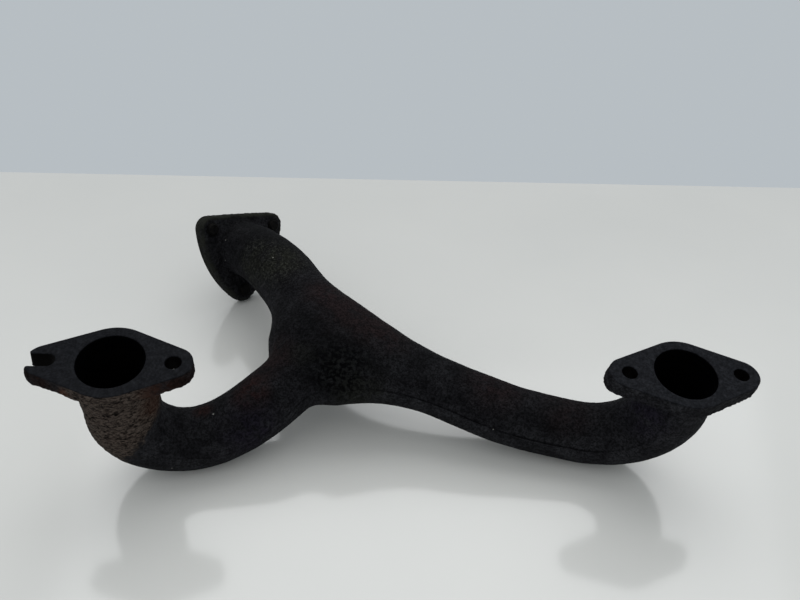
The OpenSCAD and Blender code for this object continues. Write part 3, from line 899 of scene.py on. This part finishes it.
for number, port in enumerate(PORT, 1):
    holes = [((0, 0), PORT_BORE), ((STUD_REACH, 0), STUD_HOLE)]
    if number == 2:
        holes.append(((-STUD_REACH, 0), STUD_HOLE))
    mesh = flange_mesh(f"port_flange_{number}", port_outline(number == 1), holes, FLANGE,
                       CAST_EDGE, whole=port_outline(False), crust=CRUSTS[number - 1])
    mesh.transform(Matrix.Translation(port * MM))
    flange = piece_of(note_upward(through_tree(mesh, relief, Finish=iron)))
    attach(flange, "root")
    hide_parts("manifold_casting")

# ---------------------------------------------------------------------------
# Outlet flange: a plate with three rounded corners and two bowed sides, cast on
# the end of the pipe, each corner tapped for a stud.

STUD_RING = mounts["outlet_studs"]["dims"]["pcd_mm"] / 2
THIRD = 120.0            # from one corner to the next
CORNER = 9.5             # radius of each corner, round its stud
SIDES = [79.0, 1300.0, 79.0]   # radius of each side, from the first corner round
ROLL = 24.5              # direction of the first corner about the outlet's axis
TAPPED = 4.5             # radius of a tapped hole
OUTLET_EDGE = 2.4        # rounding of the flange's cast edge


def outlet_outline():
    """The outlet flange's outline, anticlockwise, its first corner towards plus x."""
    mid = THIRD / 2
    half_side = STUD_RING * math.sin(math.radians(mid))
    bows = [math.degrees(math.asin(half_side / (side - CORNER))) for side in SIDES]
    loop = []
    for number, (side, bow) in enumerate(zip(SIDES, bows)):
        turn = THIRD * number
        middle = turn + mid
        loop.append(arc(STUD_RING * heading(turn)[:2], CORNER,
                        turn - mid + bows[number - 1], middle - bow))
        back = half_side / math.tan(math.radians(bow)) - STUD_RING * math.cos(math.radians(mid))
        loop.append(arc(-back * heading(middle)[:2], side, middle - bow, middle + bow))
    return np.concatenate(loop)


def outlet_frame():
    """Carries a piece from the flange's own frame to its place, in metres."""
    azimuth = math.degrees(math.atan2(OUTLET_OUT[1], OUTLET_OUT[0]))
    dip = math.degrees(math.asin(-OUTLET_OUT[2]))
    return (Matrix.Translation(OUTLET * MM) @ Matrix.Rotation(math.radians(azimuth), 4, "Z")
            @ Matrix.Rotation(math.radians(90 + dip), 4, "Y")
            @ Matrix.Rotation(math.radians(ROLL), 4, "Z"))


outlet_holes = [((0, 0), OUTLET_BORE)]
outlet_holes += [(STUD_RING * heading(turn)[:2], TAPPED) for turn in (0, THIRD, 2 * THIRD)]
mesh = flange_mesh("outlet_flange", outlet_outline(), outlet_holes, OUTLET_FLANGE, OUTLET_EDGE)
mesh.transform(outlet_frame())
outlet_flange = piece_of(note_upward(through_tree(mesh, relief, Finish=iron)))
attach(outlet_flange, "root")
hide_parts("manifold_casting")

# ---------------------------------------------------------------------------
# Outlet studs: three studs screwed into the outlet flange until they stand a
# little proud at the back. Their free ends have sheared off by the face.

STUD_RADIUS = mounts["outlet_studs"]["dims"]["stud_r_mm"]
STUD_OUT, STUD_BACK = 2.0, 2.5   # how far a stud stands out of the face and at the back
STUD_TIP, TIP_SLOPE = 1.0, 1.1   # how much its back end is worn in, and how steeply
STUD_DISH, STUD_CENTRE = 0.15, 0.2   # how far that end is dished, and its middle
SHEAR_LENGTH, SHEAR_NECK = 0.5, 0.15   # where its sheared end is necked, and how much
PITCH, THREAD = 1.5, 0.55        # the thread's pitch, and its depth
RIDGE_IN, RIDGE_RADIUS = 0.6, 0.75   # shares of that depth: how far in its ridge lies, and how wide
THREAD_START, THREAD_END = 1.0, 0.6   # how far the thread stops short of the two ends
RUST_SIZE, RUST_HEIGHT = 1.3, 0.22   # size and height of the rust's lumps
STUD_AROUND, STUD_STEP = 72, 0.25   # faces round a stud, and their length
BACK_RINGS, SHEAR_RINGS = 8, 10  # rings across its back end and its sheared end
HELIX_STEPS, RIDGE_SIDES = 48, 5   # the thread's steps in a turn, and its ridge's sides


def stud_blank():
    """A stud's core, revolved from its worn back end to its sheared outer end."""
    low = -OUTLET_FLANGE - STUD_BACK
    core = STUD_RADIUS - THREAD
    heights = np.arange(low, STUD_OUT + STUD_STEP / 2, STUD_STEP)
    radii = np.minimum(core, core - STUD_TIP + (heights - low) * TIP_SLOPE)
    radii = np.where(heights > STUD_OUT - SHEAR_LENGTH, radii - SHEAR_NECK, radii)
    rings = [(low + STUD_DISH, r) for r in np.linspace(0, radii[0], BACK_RINGS)[1:-1]]
    rings += zip(heights, radii)
    rings += [(STUD_OUT, r) for r in np.linspace(radii[-1], 0, SHEAR_RINGS)[1:-1]]
    turns = np.radians(np.arange(STUD_AROUND) * 360 / STUD_AROUND)
    around = np.column_stack([np.cos(turns), np.sin(turns)])
    points = [np.column_stack([around * r, np.full(STUD_AROUND, z)]) for z, r in rings]
    faces = tube_faces(0, len(rings), STUD_AROUND)
    count = len(rings) * STUD_AROUND
    last = count - STUD_AROUND
    faces += [(count, (j + 1) % STUD_AROUND, j) for j in range(STUD_AROUND)]
    faces += [(count + 1, last + j, last + (j + 1) % STUD_AROUND) for j in range(STUD_AROUND)]
    points = np.concatenate(points + [[[0, 0, low + STUD_CENTRE]], [[0, 0, STUD_OUT]]])
    return closed_mesh("stud_core", points, faces)


def stud_tree():
    """Winds a thread round a stud's core and roughens both with rust."""
    length = OUTLET_FLANGE + STUD_OUT + STUD_BACK - THREAD_START - THREAD_END
    tree, given = new_tree("outlet_stud", {
        "Radius": STUD_RADIUS, "Pitch": PITCH, "Thread": THREAD, "Length": length,
        "Rust height": RUST_HEIGHT, "Seed": 0.0})
    middle = calc(tree, "SUBTRACT", given["Radius"], times(tree, given["Thread"], RIDGE_IN))
    middle = times(tree, middle, MM)
    helix = add(tree, "GeometryNodeCurveSpiral", {"Resolution": HELIX_STEPS,
                "Rotations": calc(tree, "DIVIDE", given["Length"], given["Pitch"]),
                "Start Radius": middle, "End Radius": middle,
                "Height": times(tree, given["Length"], MM)})
    ridge = add(tree, "GeometryNodeCurvePrimitiveCircle", {"Resolution": RIDGE_SIDES,
                "Radius": times(tree, given["Thread"], RIDGE_RADIUS * MM)}, mode="RADIUS")
    thread = add(tree, "GeometryNodeCurveToMesh", {"Curve": helix.outputs[0],
                 "Profile Curve": ridge.outputs[0], "Fill Caps": True}).outputs[0]
    start = -OUTLET_FLANGE - STUD_BACK + THREAD_START
    thread = add(tree, "GeometryNodeTransform", {"Geometry": thread,
                 "Translation": (0, 0, start * MM)}).outputs[0]
    joined = add(tree, "GeometryNodeJoinGeometry")
    tree.links.new(given["Geometry"], joined.inputs[0])
    tree.links.new(thread, joined.inputs[0])

    at = tree.nodes.new("GeometryNodeInputPosition").outputs[0]
    shifted = add(tree, "ShaderNodeVectorMath", {0: at, 1: given["Seed"]}, operation="ADD")
    rust = noise(tree, shifted.outputs[0], RUST_SIZE, detail=3.0, rough=0.6)
    rust = centred(tree, rust, times(tree, given["Rust height"], MM))
    normal = tree.nodes.new("GeometryNodeInputNormal").outputs[0]
    moved = add(tree, "GeometryNodeSetPosition", {"Geometry": joined.outputs[0],
                "Offset": scaled(tree, normal, rust)}).outputs[0]
    smooth = add(tree, "GeometryNodeSetShadeSmooth", {"Geometry": moved}).outputs[0]
    return end_tree(tree, smooth, given["Finish"])


STUD_DARK, STUD_PALE = (0.0020, 0.0020, 0.0022, 1), (0.0052, 0.0050, 0.0047, 1)
STUD_RUST = (0.0110, 0.0090, 0.0070, 1)
FLAKE_RAMP = (0.38, 0.62)                  # from the steel's dark flakes to its pale ones
STUD_RUST_RAMP = (0.56, 0.7, 0.0, 0.5)     # rust on the tops of its finest grain
STUD_DULL_RAMP = (0.3, 0.7, 0.45, 0.8)     # roughness, from its dark flakes to its pale ones
STUD_GLOSS = 0.03                          # how little it shines
STUD_BUMP, STUD_BUMP_DEPTH = 0.8, 0.15     # strength and depth of its flakes and grain


def stud_finish():
    """Rust-brown steel under soot."""
    material, tree, steel, at = new_finish("rusted_stud", STUD_GLOSS)
    flake = noise(tree, at, size=2.2, detail=4.0, rough=0.65)
    fine = noise(tree, at, size=0.5, detail=2.0)
    colour = blend(tree, ramp(tree, flake, *FLAKE_RAMP), STUD_DARK, STUD_PALE)
    colour = blend(tree, ramp(tree, fine, *STUD_RUST_RAMP), colour, STUD_RUST)
    tree.links.new(colour, steel.inputs["Base Color"])
    tree.links.new(ramp(tree, flake, *STUD_DULL_RAMP), steel.inputs["Roughness"])
    bump = add(tree, "ShaderNodeBump", {"Height": calc(tree, "ADD", flake, fine),
               "Strength": STUD_BUMP, "Distance": STUD_BUMP_DEPTH * MM})
    tree.links.new(bump.outputs[0], steel.inputs["Normal"])
    return material


winding, rusted = stud_tree(), stud_finish()
for number, turn in enumerate((0, THIRD, 2 * THIRD), 1):
    mesh = through_tree(stud_blank(), winding, Seed=float(number), Finish=rusted)
    mesh.name = f"stud_end_{number}"
    mesh.transform(outlet_frame() @ Matrix.Rotation(math.radians(turn), 4, "Z")
                   @ Matrix.Translation((STUD_RING * MM, 0, 0)))
    stud = piece_of(mesh)
    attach(stud, "root")
    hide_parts(f"outlet_stud_{number}")

# ---------------------------------------------------------------------------
# Floor, light and camera. The manifold lies on a pale, glossy painted floor on
# the bottoms of its two elbows and the lowest corner of its outlet flange.

VIEW_WIDTH, VIEW_HEIGHT = 800, 600
CAMERA = np.array([116.23, -272.59, 334.72])
LOOK = unit(np.array([0.0841, 0.6925, -0.7165]))
CAMERA_RIGHT = np.array([0.99604, -0.03769, 0.0805])
FOCAL = 793.24           # focal length, on the scale of the view's width
SENSOR = 36.0            # width of the camera's sensor
NEAREST = 0.01           # metres in front of the camera that it sees nothing of
FAR_EDGE = [(0, 172), (VIEW_WIDTH, 188)]   # two places in the view on the floor's far edge
FLOOR_SIDE, FLOOR_NEAR = 2.6, 2.2          # the floor's width and its depth, in metres
ALONG_RUNNER_2 = 200.0   # x beyond which there is only runner 2
SETTLING = 20            # rounds in which the manifold comes to rest on its three feet


def resting_plane():
    """Up and height of the floor that three feet of the manifold touch."""
    skin, flange = points_of(casting.data), points_of(outlet_flange.data)
    groups = [skin[skin.sum(1) < 0], skin[skin[:, 0] > ALONG_RUNNER_2], flange]
    up = UP
    for _ in range(SETTLING):
        low = [group[np.argmin(group @ up)] for group in groups]
        up = unit(np.cross(low[1] - low[0], low[2] - low[0]))
        up = up if up[2] > 0 else -up
    return up, low[0] @ up


floor_up, floor_height = resting_plane()
right = unit(CAMERA_RIGHT - LOOK * (CAMERA_RIGHT @ LOOK))
camera_up = np.cross(right, LOOK)


def on_floor(x, y):
    """The point of the floor that the camera sees at this place in its view."""
    way = LOOK * FOCAL + right * (x - VIEW_WIDTH / 2) - camera_up * (y - VIEW_HEIGHT / 2)
    return CAMERA + way * (floor_height - CAMERA @ floor_up) / (way @ floor_up)


far_left, far_right = (on_floor(x, y) for x, y in FAR_EDGE)
edge = unit(far_right - far_left)
toward = unit(np.cross(floor_up, edge))
if toward @ (CAMERA - far_left) < 0:
    toward = -toward
middle = (far_left + far_right) / 2
corners = [middle - edge * FLOOR_SIDE / MM / 2, middle + edge * FLOOR_SIDE / MM / 2]
corners += [corners[1] + toward * FLOOR_NEAR / MM, corners[0] + toward * FLOOR_NEAR / MM]
floor_mesh = bpy.data.meshes.new("floor")
floor_mesh.from_pydata([tuple(corner * MM) for corner in corners], [], [(0, 1, 2, 3)])
floor = piece_of(floor_mesh)

PAINT_DULL, PAINT_PALE = (0.515, 0.520, 0.505, 1), (0.565, 0.565, 0.545, 1)
PAINT_CLOUD = 160.0      # size of the paint's faint clouds
PAINT_GLOSS, PAINT_ROUGH = 0.7, 0.13
FAR_SHADE, FAR_BAND = 0.86, 400.0   # how dim its far edge is, and how far that reaches
paint, tree, coat, at = new_finish("floor_paint", PAINT_GLOSS)
colour = blend(tree, noise(tree, at, PAINT_CLOUD, detail=3.0), PAINT_DULL, PAINT_PALE)
far = float(far_left @ toward)
shade = ramp(tree, along(tree, at, toward), far, far + FAR_BAND, FAR_SHADE, 1.0)
tree.links.new(scaled(tree, colour, shade), coat.inputs["Base Color"])
coat.inputs["Roughness"].default_value = PAINT_ROUGH
floor.data.materials.append(paint)

camera = piece_of(bpy.data.cameras.new("camera"))
camera.matrix_world = Matrix([[right[i], camera_up[i], -LOOK[i], CAMERA[i] * MM] for i in range(3)]
                             + [[0, 0, 0, 1]])
camera.data.sensor_width = SENSOR
camera.data.lens = FOCAL * SENSOR / VIEW_WIDTH
camera.data.clip_start = NEAREST
bpy.context.scene.camera = camera

LIT = np.array([150.0, 60.0, -60.0])   # the middle of the object, which the lights face


def softbox(name, azimuth, rise, distance, size, power, tint):
    """A soft light. Its azimuth counts anticlockwise from the right of the view."""
    light = bpy.data.lights.new(name, "AREA")
    light.shape = "RECTANGLE"
    light.size, light.size_y = size
    light.energy, light.color = power, tint
    lamp = piece_of(light)
    out = heading(azimuth, rise)
    out = unit(out[0] * edge - out[1] * toward + out[2] * floor_up)
    lamp.rotation_euler = Vector(-out).to_track_quat("-Z", "Y").to_euler()
    lamp.location = LIT * MM + out * distance


softbox("sky", azimuth=80, rise=62, distance=2.2, size=(2.4, 1.8), power=16, tint=(0.98, 0.99, 1.0))
softbox("fill", azimuth=-120, rise=38, distance=2.2, size=(1.8, 1.4), power=3, tint=(1.0, 0.99, 0.97))

# a plain pale room: its wall is even below the horizon and brighter above it
WALL_LIGHT, CEILING_LIGHT = (0.475, 0.515, 0.545, 1), (1.06, 1.08, 1.09, 1)
CEILING_RAMP = (0.15, 0.85)   # from where the wall ends to where the ceiling is brightest
world = bpy.data.worlds.new("studio")
world.use_nodes = True
tree = world.node_tree
way = tree.nodes.new("ShaderNodeTexCoord").outputs["Generated"]
rise = add(tree, "ShaderNodeVectorMath", {0: way, 1: tuple(floor_up)},
           operation="DOT_PRODUCT")
light = blend(tree, ramp(tree, rise.outputs["Value"], *CEILING_RAMP), WALL_LIGHT, CEILING_LIGHT)
tree.links.new(light, tree.nodes["Background"].inputs["Color"])
bpy.context.scene.world = world
bpy.context.scene.view_settings.view_transform = "Standard"
